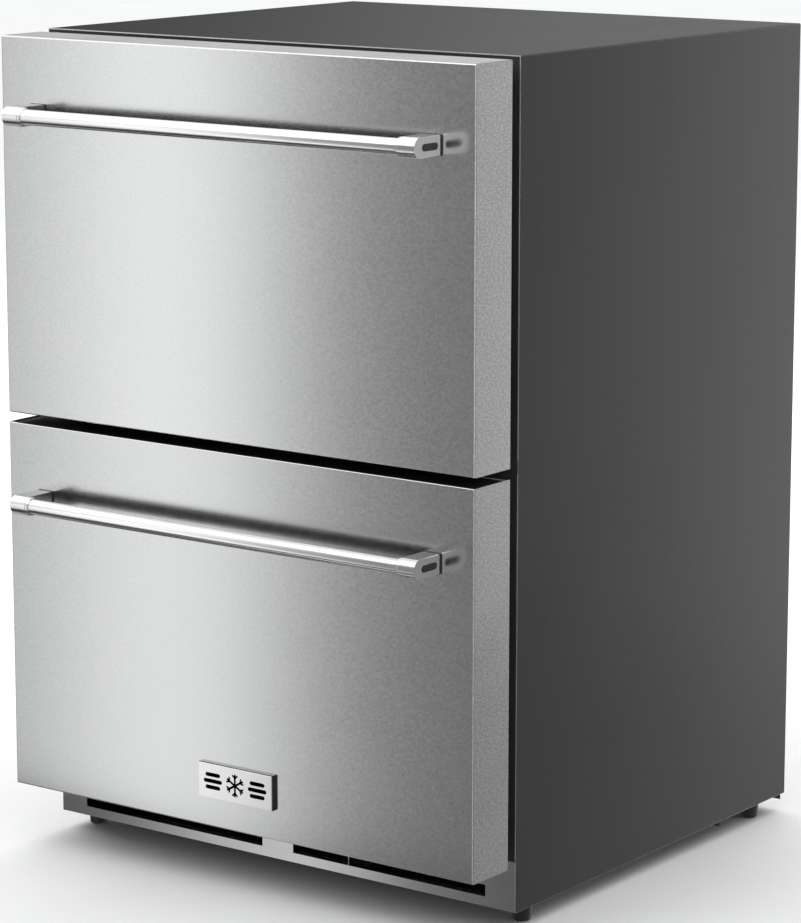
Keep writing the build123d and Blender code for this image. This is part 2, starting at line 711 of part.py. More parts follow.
def runners():
    """Three-member telescopic runners, one pair for each drawer."""
    cabinet_side = []
    for level, z0 in (("upper", UPPER_RUNNER_Z), ("lower", LOWER_RUNNER_Z)):
        wall_x = (COLD_X - RUNNER_SHEET, COLD_X)
        cabinet_side += runner(z0, 0.0, wall_x, (COLD_X - 11.0, COLD_X))
        middle_x = COLD_X - 3.0
        members = {
            f"{level}_runner_middle": (
                3.0, (middle_x - RUNNER_SHEET, middle_x), (COLD_X - 13.5, middle_x)
            ),
            f"{level}_runner_inner": (
                6.0, (BIN_X, BIN_X + RUNNER_SHEET), (BIN_X, COLD_X - 6.0)
            ),
        }
        for name, (inset, web, lip) in members.items():
            save_solids(runner(z0, inset, web, lip), name)
    save_solids(cabinet_side, "runner_outer_members")


# ---------------------------------------------------------------- drawers
def front_skin(level, z, cap_at_top):
    """Folded steel skin: face, sides and one end; the other end takes the cap."""
    with BuildPart() as skin:
        slab((-HALF_W, HALF_W), (FACE_Y, FRONT_BACK_Y), z)
        fillet(skin.edges().group_by(Axis.Y)[0], 1.5)
        inner_z = (z[0] + SHEET, z[1] + 1.0) if cap_at_top else (z[0] - 1.0, z[1] - SHEET)
        slab((-INNER_X, INNER_X), (FACE_Y + SHEET, FRONT_BACK_Y + 1.0), inner_z, Mode.SUBTRACT)
    save(skin, f"{level}_front_skin")


def front_cap(level, z, cap_at_top):
    """Black end cap, set just inside the skin's edge."""
    if cap_at_top:
        cap_z = (z[1] - CAP_INNER, z[1] - CAP_OUTER)
    else:
        cap_z = (z[0] + CAP_OUTER, z[0] + CAP_INNER)
    with BuildPart() as cap:
        slab(
            (-INNER_X + FIT, INNER_X - FIT),
            (FACE_Y + SHEET + FIT, PLATE_Y - PLATE_THICK - FIT),
            cap_z,
        )
    save(cap, f"{level}_front_cap")


def plug_inside(plug_z):
    """Limits of the hollow of an inner panel's plug."""
    return (
        (-PLUG_X + PLUG_WALL, PLUG_X - PLUG_WALL),
        (PLATE_Y - PLATE_THICK, PLUG_Y - PLATE_THICK),
        (plug_z[0] + PLUG_WALL, plug_z[1] - PLUG_WALL),
    )


def inner_panel(level, z, plug_z):
    """Moulded inner panel with a hollow plug that stands into the cold space."""
    with BuildPart() as panel:
        slab(
            (-INNER_X + FIT, INNER_X - FIT),
            (PLATE_Y - PLATE_THICK, PLATE_Y),
            (z[0] + 1.2, z[1] - 1.2),
        )
        with BuildSketch(Plane.XZ.offset(-PLATE_Y)):
            with Locations((0, (plug_z[0] + plug_z[1]) / 2)):
                RectangleRounded(2 * PLUG_X, plug_z[1] - plug_z[0], 10.0)
        extrude(amount=-(PLUG_Y - PLATE_Y))
        fillet(panel.edges().group_by(Axis.Y)[-1], 3.0)
        slab(*plug_inside(plug_z), Mode.SUBTRACT)
    save(panel, f"{level}_inner_panel")


def front_foam(level, z, plug_z, cap_at_top):
    """Foam of the drawer front, and the foam block in the plug of its inner panel."""
    if cap_at_top:
        foam_z = (z[0] + SHEET, z[1] - CAP_INNER - FIT)
    else:
        foam_z = (z[0] + CAP_INNER + FIT, z[1] - SHEET)
    front = ((-INNER_X, INNER_X), (FACE_Y + SHEET, PLATE_Y - PLATE_THICK), foam_z)
    save_solids(boards([front, plug_inside(plug_z)]), f"{level}_front_foam")


def gasket(level, z):
    """Magnetic gasket: a base strip, a narrower bellows and a magnet strip."""
    outer_x = 284.0
    band = 14.0
    inset = 8.0
    layers = ((PLATE_Y, 3.0, 0.0), (PLATE_Y + 3.0, 6.0, 3.0), (PLATE_Y + 9.0, 5.2, 0.5))
    with BuildPart() as seal:
        for start, depth, narrower in layers:
            width = 2 * (outer_x - narrower)
            height = z[1] - z[0] - 2 * (inset + narrower)
            hole = 2 * (band - 2 * narrower)
            with BuildSketch(Plane.XZ.offset(-start)):
                with Locations((0, (z[0] + z[1]) / 2)):
                    RectangleRounded(width, height, 6.0)
                    RectangleRounded(width - hole, height - hole, 2.0, mode=Mode.SUBTRACT)
            extrude(amount=-depth)
    save(seal, f"{level}_gasket")


def handle(level, axis_z):
    """Round bar between two D-shaped posts, each on a thin pad."""
    with BuildPart() as bar:
        rod((-POST_INNER_X, BAR_Y, axis_z), (1, 0, 0), 2 * POST_INNER_X, BAR_R)
    save(bar, f"{level}_handle_bar")
    solids = {"posts": [], "pads": []}
    for x in both_sides((POST_INNER_X, POST_OUTER_X)):
        with BuildPart() as post:
            with BuildSketch(Plane.YZ.offset(x[0])):
                with Locations((BAR_Y, axis_z)):
                    Circle(POST_R)
                with Locations(((BAR_Y + FACE_Y - PAD) / 2, axis_z)):
                    Rectangle(FACE_Y - PAD - BAR_Y, 2 * POST_R)
            extrude(amount=x[1] - x[0])
            ends = post.faces().filter_by(Axis.X)
            chamfer(ends.edges().filter_by(lambda e: e.center().Y < FACE_Y - PAD - 1.0), 1.0)
        solids["posts"].append(post.part.solid())
        with BuildPart() as pad:
            with BuildSketch(Plane.XZ.offset(-(FACE_Y - PAD))):
                with Locations(((x[0] + x[1]) / 2, axis_z)):
                    width = POST_OUTER_X - POST_INNER_X + 2 * PAD_OVERHANG
                    RectangleRounded(width, 2 * (POST_R + PAD_OVERHANG), 1.0)
            extrude(amount=-PAD)
        solids["pads"].append(pad.part.solid())
    for piece, pair in solids.items():
        save_solids(pair, f"{level}_handle_{piece}")


def drawer_bin(level, y, z):
    """Bin welded from sheet: floor, walls, rounded rear corners and side rims."""
    bend_x = BIN_X - BIN_BEND
    bend_y = y[1] - BIN_BEND
    wall_z = (z[0] + BIN_SHEET, z[1])
    limits = [
        ((-BIN_X, BIN_X), (y[0], y[0] + BIN_SHEET), wall_z),
        ((-bend_x, bend_x), (y[1] - BIN_SHEET, y[1]), wall_z),
    ]
    for x in both_sides((BIN_X - BIN_SHEET, BIN_X)):
        limits.append((x, (y[0] + BIN_SHEET, bend_y), wall_z))
    for x in both_sides((BIN_X, BIN_X + BIN_RIM)):
        limits.append((x, (y[0], bend_y), (z[1] - BIN_RIM_SHEET, z[1])))
    solids = boards(limits)
    with BuildPart() as floor:
        slab((-BIN_X, BIN_X), y, (z[0], wall_z[0]))
        fillet(floor.edges().filter_by(Axis.Z).group_by(Axis.Y)[-1], BIN_BEND)
    solids.append(floor.part.solid())
    for corner_x, start_angle in ((bend_x, 0.0), (-bend_x, 90.0)):
        with BuildPart() as corner:
            with BuildSketch(Plane.XY.offset(wall_z[0])):
                with BuildLine():
                    outer = CenterArc((corner_x, bend_y), BIN_BEND, start_angle, 90.0)
                    inner = CenterArc((corner_x, bend_y), BIN_BEND - BIN_SHEET, start_angle, 90.0)
                    Line(outer @ 0, inner @ 0)
                    Line(outer @ 1, inner @ 1)
                make_face()
            extrude(amount=wall_z[1] - wall_z[0])
        solids.append(corner.part.solid())
    save_solids(solids, f"{level}_bin")


def badge_plate():
    """Raised rectangular plate low on the lower drawer front."""
    with BuildPart() as badge:
        slab(BADGE_X, (FACE_Y - BADGE_THICK, FACE_Y), BADGE_Z)
        chamfer(badge.edges().group_by(Axis.Y)[0], 1.2)
    save(badge, "badge_plate")


def drawer(level, z, plug_z, bin_y, bin_z, cap_at_top):
    """All pieces of one drawer apart from its runner members."""
    front_skin(level, z, cap_at_top)
    front_cap(level, z, cap_at_top)
    inner_panel(level, z, plug_z)
    front_foam(level, z, plug_z, cap_at_top)
    gasket(level, z)
    handle(level, z[1] - HANDLE_DROP)
    drawer_bin(level, bin_y, bin_z)


def main():
    os.makedirs("parts", exist_ok=True)
    outer_wrapper()
    back_panel()
    rear_grille()
    cord_gland()
    base_pan()
    rear_channel()
    kick_grille()
    air_baffle()
    front_frame()
    centre_mullion()
    inner_liner()
    insulation()
    cabinet_screws()
    evaporator_cover()
    evaporator_coil()
    evaporator_fan_set()
    lamp_lens()
    control_housing()
    display_lens()
    control_board()
    buttons()
    compressor()
    compressor_grommets()
    drip_tray()
    condenser_coil()
    condenser_fan_set()
    refrigerant_lines()
    levelling_feet()
    runners()
    drawer("upper", UPPER_Z, UPPER_PLUG_Z, UPPER_BIN_Y, UPPER_BIN_Z, cap_at_top=False)
    drawer("lower", LOWER_Z, LOWER_PLUG_Z, LOWER_BIN_Y, LOWER_BIN_Z, cap_at_top=True)
    badge_plate()


main()
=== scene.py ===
"""Looks of an under-counter refrigerator with two drawers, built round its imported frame."""

import json
import math

import bmesh
import bpy
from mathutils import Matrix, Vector


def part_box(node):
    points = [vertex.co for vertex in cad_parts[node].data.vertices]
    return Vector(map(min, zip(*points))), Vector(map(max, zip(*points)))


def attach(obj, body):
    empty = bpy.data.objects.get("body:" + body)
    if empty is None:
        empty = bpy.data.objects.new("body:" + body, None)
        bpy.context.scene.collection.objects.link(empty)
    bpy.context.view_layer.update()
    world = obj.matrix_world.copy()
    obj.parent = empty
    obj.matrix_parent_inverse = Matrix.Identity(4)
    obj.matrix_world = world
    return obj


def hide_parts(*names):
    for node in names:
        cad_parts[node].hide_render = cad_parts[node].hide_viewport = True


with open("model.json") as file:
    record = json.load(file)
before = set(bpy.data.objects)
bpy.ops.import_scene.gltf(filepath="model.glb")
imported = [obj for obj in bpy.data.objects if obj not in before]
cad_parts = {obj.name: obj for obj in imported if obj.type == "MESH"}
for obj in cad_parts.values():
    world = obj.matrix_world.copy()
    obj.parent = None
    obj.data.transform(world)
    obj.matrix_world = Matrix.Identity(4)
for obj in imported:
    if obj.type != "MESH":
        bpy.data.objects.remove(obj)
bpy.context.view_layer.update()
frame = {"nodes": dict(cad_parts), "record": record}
nodes = frame["nodes"]

MM = 0.001
LEVELS = ("upper", "lower")
FRONT_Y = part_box("upper_front_skin")[0][1]
SIDE_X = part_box("outer_wrapper")[1][0]

# Camera: place in metres, tilt below level and turn from the front in degrees.
CAMERA_PLACE = (2.20076, -2.96862, 1.13554)
CAMERA_TILT = 11.151
CAMERA_TURN = 36.459
LENS_MM = 138.77
SENSOR_MM = 36.0

# Stage sizes in metres, and the white of the paper behind the object.
FLOOR_HALF = 30.0
BACKDROP_R = 29.0
BACKDROP_WHITE = 0.92

# Stops of a card that glows evenly.
EVEN = [(0.0, 1.0), (1.0, 1.0)]

# A finish runs from its dark to its light end while its noise runs over this range.
NOISE_RANGE = (0.3, 0.7)

# Share of facing the rear at which the painted shade on a finish starts, and where it is darkest.
PAINTED_SHADE_RANGE = (0.15, 0.6)

COAT_ROUGHNESS = 0.08
BRUSH_TURN = 0.25
SMOOTH_ANGLE = math.radians(35.0)


# ---------------------------------------------------------------- camera and stage
def make_camera():
    """Long-lens camera that sees the front, the right side and a little of the top."""
    data = bpy.data.cameras.new("camera")
    data.lens = LENS_MM
    data.sensor_width = SENSOR_MM
    data.dof.use_dof = False
    camera = bpy.data.objects.new("camera", data)
    camera.location = CAMERA_PLACE
    camera.rotation_euler = (math.radians(90.0 - CAMERA_TILT), 0.0, math.radians(CAMERA_TURN))
    bpy.context.scene.collection.objects.link(camera)
    bpy.context.scene.camera = camera


def area_light(name, place, target, size, power):
    """Soft square lamp that points at a target and isn't seen itself."""
    data = bpy.data.lights.new(name, "AREA")
    data.shape = "SQUARE"
    data.size = size
    data.energy = power
    lamp = bpy.data.objects.new(name, data)
    lamp.location = place
    lamp.rotation_euler = (Vector(target) - Vector(place)).to_track_quat("-Z", "Y").to_euler()
    lamp.visible_camera = False
    lamp.visible_glossy = False
    bpy.context.scene.collection.objects.link(lamp)


def glow_material(name, stops, strength):
    """Even light whose brightness follows the stops along the card's first side."""
    mat = bpy.data.materials.new(name)
    mat.use_nodes = True
    mat.cycles.emission_sampling = "NONE"
    tree = mat.node_tree
    tree.nodes.clear()
    output = tree.nodes.new("ShaderNodeOutputMaterial")
    glow = tree.nodes.new("ShaderNodeEmission")
    glow.inputs["Strength"].default_value = strength
    ramp = tree.nodes.new("ShaderNodeValToRGB")
    ramp.color_ramp.interpolation = "B_SPLINE"
    set_stops(ramp, [(place, (value, value, value)) for place, value in stops])
    split = tree.nodes.new("ShaderNodeSeparateXYZ")
    coord = tree.nodes.new("ShaderNodeUVMap")
    coord.uv_map = "card"
    tree.links.new(coord.outputs["UV"], split.inputs["Vector"])
    tree.links.new(split.outputs["X"], ramp.inputs["Fac"])
    tree.links.new(ramp.outputs["Color"], glow.inputs["Color"])
    tree.links.new(glow.outputs["Emission"], output.inputs["Surface"])
    return mat


def reflection_card(name, corners, stops, strength):
    """Glowing studio card that only shiny surfaces see; stops run along its first side."""
    mesh = bpy.data.meshes.new(name)
    mesh.from_pydata([Vector(c) for c in corners], [], [(0, 1, 2, 3)])
    uv = mesh.uv_layers.new(name="card")
    for loop, place in zip(uv.data, ((0, 0), (1, 0), (1, 1), (0, 1))):
        loop.uv = place
    card = bpy.data.objects.new(name, mesh)
    bpy.context.scene.collection.objects.link(card)
    mesh.materials.append(glow_material(name, stops, strength))
    card.visible_camera = False
    card.visible_diffuse = False
    card.visible_shadow = False
    card.visible_transmission = False


def make_world():
    """Plain display colours and a faint cool light from all round."""
    scene = bpy.context.scene
    scene.view_settings.view_transform = "Standard"
    world = bpy.data.worlds.new("studio")
    scene.world = world
    world.use_nodes = True
    background = world.node_tree.nodes["Background"]
    background.inputs["Color"].default_value = (0.97, 0.985, 1.0, 1.0)
    background.inputs["Strength"].default_value = 0.42


def make_floor():
    """Pale paper floor, which shiny surfaces don't see."""
    mesh = bpy.data.meshes.new("floor")
    span = (-FLOOR_HALF, FLOOR_HALF)
    mesh.from_pydata(level_card(span, span, 0.0), [], [(0, 1, 2, 3)])
    floor = bpy.data.objects.new("floor", mesh)
    bpy.context.scene.collection.objects.link(floor)
    mesh.materials.append(
        surface("floor_paper", grey(0.86), grey(0.9), roughness=(0.8, 0.9), grain=(3, 3, 3))
    )
    floor.visible_glossy = False


def make_lamps():
    """Three soft lamps and a very wide sun as the ceiling."""
    area_light("key", (-1.6, -2.6, 3.4), (0.0, 0.0, 0.4), 2.4, 40.0)
    area_light("right", (3.6, 1.2, 2.0), (0.2, 0.0, 0.4), 2.0, 12.0)
    area_light("back", (-1.0, 3.6, 2.2), (0.0, 0.2, 0.4), 2.4, 40.0)
    data = bpy.data.lights.new("ceiling", "SUN")
    data.energy = 2.3
    data.angle = math.radians(110.0)
    sun = bpy.data.objects.new("ceiling", data)
    sun.rotation_euler = (math.radians(-14.0), math.radians(-10.0), 0.0)
    sun.visible_glossy = False
    bpy.context.scene.collection.objects.link(sun)


def make_backdrop():
    """White dome round the stage that only the camera sees."""
    mesh_data = bmesh.new()
    bmesh.ops.create_uvsphere(mesh_data, u_segments=48, v_segments=24, radius=BACKDROP_R)
    mesh = bpy.data.meshes.new("backdrop")
    mesh_data.to_mesh(mesh)
    mesh_data.free()
    backdrop = bpy.data.objects.new("backdrop", mesh)
    bpy.context.scene.collection.objects.link(backdrop)
    white = [(0.0, BACKDROP_WHITE), (1.0, BACKDROP_WHITE)]
    mesh.materials.append(glow_material("backdrop", white, 1.0))
    backdrop.visible_diffuse = False
    backdrop.visible_glossy = False
    backdrop.visible_transmission = False
    backdrop.visible_shadow = False


def make_stage():
    """Pale floor, even studio light and the cards that shape the steel's reflections."""
    make_world()
    make_floor()
    make_lamps()
    make_backdrop()
    front_cards()
    level_cards()
    rear_cards()


def upright_card(x, y, z):
    """Corners of an upright card across the stage; its first side runs along X."""
    return [(x[0], y, z[0]), (x[1], y, z[0]), (x[1], y, z[1]), (x[0], y, z[1])]


def level_card(x, y, z):
    """Corners of a level card; its first side runs along X."""
    return [(x[0], y[0], z), (x[1], y[0], z), (x[1], y[1], z), (x[0], y[1], z)]


def front_cards():
    """Cards before the object: broad bands for the fronts, a high one and one for the kick plate."""
    card_y = FRONT_Y - 1.2
    low_z, middle_z, high_z = -0.7, 1.2, 3.0
    reflection_card(
        "card_front",
        upright_card((-1.9, 1.1), card_y, (low_z, middle_z)),
        [(0.0, 0.3), (0.147, 0.46), (0.2, 0.74), (0.247, 1.0), (0.293, 1.0), (0.333, 0.62),
         (0.373, 0.24), (0.427, 0.16), (0.48, 0.14), (0.56, 0.16), (0.64, 0.45), (0.71, 0.8),
         (0.78, 0.5), (0.88, 0.2), (1.0, 0.3)],
        1.5,
    )
    half = 4.0
    high = [
        (-half, card_y, middle_z), (-half, card_y, high_z),
        (half, card_y, high_z), (half, card_y, middle_z),
    ]
    reflection_card("card_high", high, [(0.0, 0.15), (0.1, 0.6), (0.2, 1.0), (1.0, 1.0)], 2.2)
    reflection_card(
        "card_kick",
        upright_card((-0.75, 0.35), FRONT_Y - 0.3, (-0.5, -0.05)),
        [(0.0, 0.1), (0.2, 0.17), (0.36, 0.95), (0.48, 0.9), (0.6, 0.16), (1.0, 0.06)],
        1.0,
    )


def level_cards():
    """Bright card above the object and a black flag below it."""
    across = (-3.5, 3.5)
    reflection_card("card_above", level_card(across, (-4.0, 2.4), 3.0), EVEN, 1.7)
    reflection_card("flag_below", level_card(across, (FRONT_Y - 1.2, -0.3), -0.72), EVEN, 0.06)


def rear_cards():
    """Cards behind the object, for the side and the top, and a strip for the fronts' right faces."""
    card_y = 2.5
    side_x = (0.5, 4.1)
    side_stops = [(0.0, 1.0), (0.24, 0.97), (0.34, 0.42), (0.44, 0.16), (1.0, 0.1)]
    reflection_card("card_side", upright_card(side_x, card_y, (-0.5, 2.4)), side_stops, 2.5)
    reflection_card("card_side_low", upright_card(side_x, card_y, (-2.0, -0.5)), side_stops, 1.7)
    reflection_card(
        "card_rear",
        upright_card((-4.2, -0.5), card_y, (-0.5, 2.6)),
        [(0.0, 0.02), (0.36, 0.05), (0.55, 0.35), (0.72, 0.85), (1.0, 1.0)],
        0.44,
    )
    near, far = (2.35, -3.95), (2.95, -3.5)
    low_z, high_z = -0.4, 3.0
    strip = [(*near, low_z), (*far, low_z), (*far, high_z), (*near, high_z)]
    reflection_card("card_edge", strip, EVEN, 3.2)


# ---------------------------------------------------------------- materials
def set_stops(ramp, stops):
    """Gives a colour ramp its stops, as (place, rgb)."""
    stops = list(stops)
    elements = ramp.color_ramp.elements
    while len(elements) < len(stops):
        elements.new(1.0)
    for element, (place, colour) in zip(elements, stops):
        element.position = place
        element.color = (*colour, 1.0)


def noise(tree, coord, scale, detail, rough=0.55):
    """Noise whose cells are sized by scale, per metre along each axis."""
    mapping = tree.nodes.new("ShaderNodeMapping")
    mapping.inputs["Scale"].default_value = scale
    texture = tree.nodes.new("ShaderNodeTexNoise")
    texture.inputs["Scale"].default_value = 1.0
    texture.inputs["Detail"].default_value = detail
    texture.inputs["Roughness"].default_value = rough
    tree.links.new(coord.outputs["Object"], mapping.inputs["Vector"])
    tree.links.new(mapping.outputs["Vector"], texture.inputs["Vector"])
    return texture.outputs["Fac"]


def arithmetic(tree, kind, *values):
    """Output of a math node whose inputs are sockets or plain numbers."""
    node = tree.nodes.new("ShaderNodeMath")
    node.operation = kind
    for socket, value in zip(node.inputs, values):
        if isinstance(value, float):
            socket.default_value = value
        else:
            tree.links.new(value, socket)
    return node.outputs["Value"]


def remapped(tree, value, source, target):
    """Value carried from one range to another."""
    node = tree.nodes.new("ShaderNodeMapRange")
    for name, number in zip(("From Min", "From Max", "To Min", "To Max"), (*source, *target)):
        node.inputs[name].default_value = number
    tree.links.new(value, node.inputs["Value"])
    return node.outputs["Result"]


def facing(tree, coord, axis):
    """How far a face looks along an axis of the object, from -1 to 1."""
    split = tree.nodes.new("ShaderNodeSeparateXYZ")
    tree.links.new(coord.outputs["Normal"], split.inputs["Vector"])
    return split.outputs[axis]


def stronger_on_ends(tree, coord, value, end_gain):
    """Noise whose swing about its middle grows on faces that look left or right."""
    sideways = arithmetic(tree, "ABSOLUTE", facing(tree, coord, "X"))
    gain = arithmetic(tree, "MULTIPLY_ADD", sideways, end_gain, 1.0)
    swing = arithmetic(tree, "SUBTRACT", value, 0.5)
    return arithmetic(tree, "MULTIPLY_ADD", swing, gain, 0.5)


def painted_shade_at_back(tree, coord, colour, painted_back_shade):
    """Colour with a painted shade that darkens it, by the given amount, on faces that look to the rear."""
    shade = tree.nodes.new("ShaderNodeVectorMath")
    shade.operation = "SCALE"
    tree.links.new(colour, shade.inputs["Vector"])
    painted_shade_share = remapped(tree, facing(tree, coord, "Y"), PAINTED_SHADE_RANGE, (1.0, 1.0 - painted_back_shade))
    tree.links.new(painted_shade_share, shade.inputs["Scale"])
    return shade.outputs["Vector"]


def brushed_round(tree, shader, strength):
    """Stretches the shine across a brush direction that runs round the upright axis."""
    shader.inputs["Anisotropic"].default_value = strength
    shader.inputs["Anisotropic Rotation"].default_value = BRUSH_TURN
    tangent = tree.nodes.new("ShaderNodeTangent")
    tangent.direction_type = "RADIAL"
    tangent.axis = "Z"
    tree.links.new(tangent.outputs["Tangent"], shader.inputs["Tangent"])


def surface(
    name,
    dark,
    light,
    roughness,
    grain,
    cloud=(7, 7, 7),
    metallic=0.0,
    bump=0.1,
    depth=0.0001,
    specular=0.5,
    anisotropic=0.0,
    coat=0.0,
    cloud_share=0.5,
    end_gain=0.0,
    painted_back_shade=0.0,
):
    """Finish with a fine grain and a soft cloudy variation, in colour, gloss and height.

    end_gain strengthens the grain on faces that look left or right; the painted back shade darkens those
    that look to the rear.
    """
    mat = bpy.data.materials.new(name)
    mat.use_nodes = True
    tree = mat.node_tree
    shader = tree.nodes["Principled BSDF"]
    shader.inputs["Metallic"].default_value = metallic
    shader.inputs["Specular IOR Level"].default_value = specular
    shader.inputs["Coat Weight"].default_value = coat
    shader.inputs["Coat Roughness"].default_value = COAT_ROUGHNESS
    coord = tree.nodes.new("ShaderNodeTexCoord")
    fine = noise(tree, coord, grain, 3.0)
    broad = noise(tree, coord, cloud, 4.0, 0.6)
    blend = tree.nodes.new("ShaderNodeMix")
    blend.inputs["Factor"].default_value = cloud_share
    tree.links.new(fine, blend.inputs["A"])
    tree.links.new(broad, blend.inputs["B"])
    mixed = blend.outputs["Result"]
    tree.links.new(remapped(tree, mixed, NOISE_RANGE, roughness), shader.inputs["Roughness"])

    tone = stronger_on_ends(tree, coord, mixed, end_gain) if end_gain else mixed
    ramp = tree.nodes.new("ShaderNodeValToRGB")
    set_stops(ramp, zip(NOISE_RANGE, (dark, light)))
    tree.links.new(tone, ramp.inputs["Fac"])
    colour = ramp.outputs["Color"]
    # Painted shade: the colour darkens on faces that look to the rear.
    if painted_back_shade:
        colour = painted_shade_at_back(tree, coord, colour, painted_back_shade)
    tree.links.new(colour, shader.inputs["Base Color"])

    height = tree.nodes.new("ShaderNodeBump")
    height.inputs["Strength"].default_value = bump
    height.inputs["Distance"].default_value = depth
    tree.links.new(fine, height.inputs["Height"])
    tree.links.new(height.outputs["Normal"], shader.inputs["Normal"])
    if anisotropic:
        brushed_round(tree, shader, anisotropic)
    return mat


def grey(value):
    """Neutral colour."""
    return (value, value, value)


def front_finish(name, painted_shade_share):
    """Brushed steel of the drawer fronts, with its brightness scaled by the given share; a share below 1
    is painted shade.
    """
    dark = tuple(painted_shade_share * value for value in (0.55, 0.555, 0.56))
    light = tuple(painted_shade_share * value for value in (0.64, 0.645, 0.65))
    return surface(
        name, dark, light, (0.165, 0.215), (400, 260, 560), cloud=(14, 14, 20), metallic=1.0, bump=0.05,
        depth=0.00002, anisotropic=0.3, cloud_share=0.15, end_gain=2.4,
    )


def make_materials():
    """One finish for each material slot, and a few for the added pieces."""
    plain = dict(grain=(1500, 1500, 1500), bump=0.25, depth=0.00005)
    return {
        "front_steel": front_finish("front_steel", 1.0),
        # The lower front: the same steel made 6% darker as painted shade.
        "lower_steel": front_finish("lower_steel", 0.94),
        "cabinet_paint": surface(
            "cabinet_paint", (0.0075, 0.008, 0.0085), (0.0115, 0.012, 0.0125), (0.26, 0.33),
            (520, 520, 520), cloud=(4, 4, 4), bump=0.1, depth=0.0001, specular=0.3,
        ),
        # The bars and posts carry a painted shade on their rear faces, nearly black, so their mirror image
        # in the fronts is dark.
        "handle_metal": surface(
            "handle_metal", grey(0.72), grey(0.8), (0.15, 0.2), (9, 700, 700), metallic=1.0,
            bump=0.02, depth=0.00001, painted_back_shade=0.95,
        ),
        "kick_steel": surface(
            "kick_steel", grey(0.5), grey(0.6), (0.13, 0.18), (620, 850, 850), cloud=(6, 6, 12),
            metallic=1.0, bump=0.04, depth=0.00001, anisotropic=0.3,
        ),
        "handle_end": surface(
            "handle_end", grey(0.6), grey(0.64), (0.3, 0.34), (900, 900, 900), metallic=1.0,
            bump=0.01, depth=0.000005,
        ),
        "flange_steel": surface(
            "flange_steel", grey(0.5), grey(0.62), (0.3, 0.4), (380, 300, 560), metallic=0.55, bump=0.05,
            depth=0.00002,
        ),
        "badge_metal": surface(
            "badge_metal", grey(0.66), grey(0.74), (0.16, 0.24), (20, 900, 900), metallic=1.0,
            bump=0.04, depth=0.00002,
        ),
        "bin_steel": surface(
            "bin_steel", grey(0.5), grey(0.58), (0.26, 0.36), (420, 12, 420), metallic=1.0,
            bump=0.06, depth=0.00004,
        ),
        "zinc_steel": surface(
            "zinc_steel", (0.47, 0.48, 0.5), (0.6, 0.6, 0.61), (0.3, 0.45), (160, 160, 160),
            cloud=(40, 40, 40), metallic=1.0, bump=0.08,
        ),
        "screw_steel": surface(
            "screw_steel", grey(0.42), grey(0.55), (0.25, 0.4), (900, 900, 900), metallic=1.0,
        ),
        "black_paint": surface("black_paint", grey(0.012), grey(0.022), (0.35, 0.5), (600, 600, 600)),
        "black_plastic": surface("black_plastic", grey(0.012), grey(0.02), (0.45, 0.6), **plain),
        "liner_plastic": surface(
            "liner_plastic", (0.74, 0.755, 0.76), (0.8, 0.81, 0.815), (0.28, 0.38), **plain
        ),
        "button_plastic": surface("button_plastic", grey(0.06), grey(0.085), (0.3, 0.42), **plain),
        "fan_plastic": surface("fan_plastic", grey(0.018), grey(0.03), (0.38, 0.5), **plain),
        "display_plastic": surface(
            "display_plastic", grey(0.006), grey(0.01), (0.05, 0.1), (900, 900, 900), coat=0.6,
            bump=0.01,
        ),
        "lamp_plastic": surface("lamp_plastic", grey(0.82), grey(0.88), (0.4, 0.5), (700, 40, 700)),
        "board_laminate": surface(
            "board_laminate", (0.015, 0.09, 0.035), (0.03, 0.14, 0.06), (0.35, 0.5), (900, 900, 900)
        ),
        "gasket_rubber": surface("gasket_rubber", grey(0.035), grey(0.06), (0.5, 0.65), **plain),
        "rubber": surface("rubber", grey(0.012), grey(0.024), (0.6, 0.8), **plain),
        "foam": surface(
            "foam", (0.62, 0.52, 0.32), (0.78, 0.68, 0.46), (0.8, 0.95), (300, 300, 300), bump=0.7,
            depth=0.0006,
        ),
        "coil_aluminium": surface(
            "coil_aluminium", grey(0.62), grey(0.74), (0.25, 0.4), (600, 600, 600), metallic=1.0
        ),
        "copper": surface(
            "copper", (0.55, 0.25, 0.14), (0.72, 0.36, 0.22), (0.2, 0.38), (90, 90, 90), metallic=1.0
        ),
        "mark_black": surface("mark_black", grey(0.01), grey(0.018), (0.3, 0.45), **plain),
        "mark_white": surface("mark_white", grey(0.7), grey(0.8), (0.4, 0.5), **plain),
        "edge_steel": surface(
            "edge_steel", grey(0.6), grey(0.72), (0.18, 0.3), (700, 700, 700), metallic=1.0, bump=0.04
        ),
    }


def dress_frame(finishes):
    """Gives every node of the frame the finish of its material slot."""
    for entry in frame["record"]["subparts"]:
        finish = finishes[entry["material_slot"]]
        for place in nodes[entry["node"]].material_slots:
            place.material = finish
    # The lower front takes the copy of the front steel with painted shade.
    for name, finish in (("kick_grille", "kick_steel"), ("lower_front_skin", "lower_steel")):
        for place in nodes[name].material_slots:
            place.material = finishes[finish]


# ---------------------------------------------------------------- mesh helpers
def arc(start, end, steps):
    """Angles in radians from start to end degrees, in equal steps."""
    return [math.radians(start + (end - start) * step / steps) for step in range(steps + 1)]


def piece(name, mesh_data, finish, body):
    """Links a finished bmesh as a piece that rides on a body."""
    bmesh.ops.recalc_face_normals(mesh_data, faces=mesh_data.faces)
    mesh = bpy.data.meshes.new(name)
    mesh_data.to_mesh(mesh)
    mesh_data.free()
    mesh.polygons.foreach_set("use_smooth", [True] * len(mesh.polygons))
    mesh.set_sharp_from_angle(angle=SMOOTH_ANGLE)
    mesh.materials.append(finish)
    obj = bpy.data.objects.new(name, mesh)
    bpy.context.scene.collection.objects.link(obj)
    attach(obj, body)
    return obj


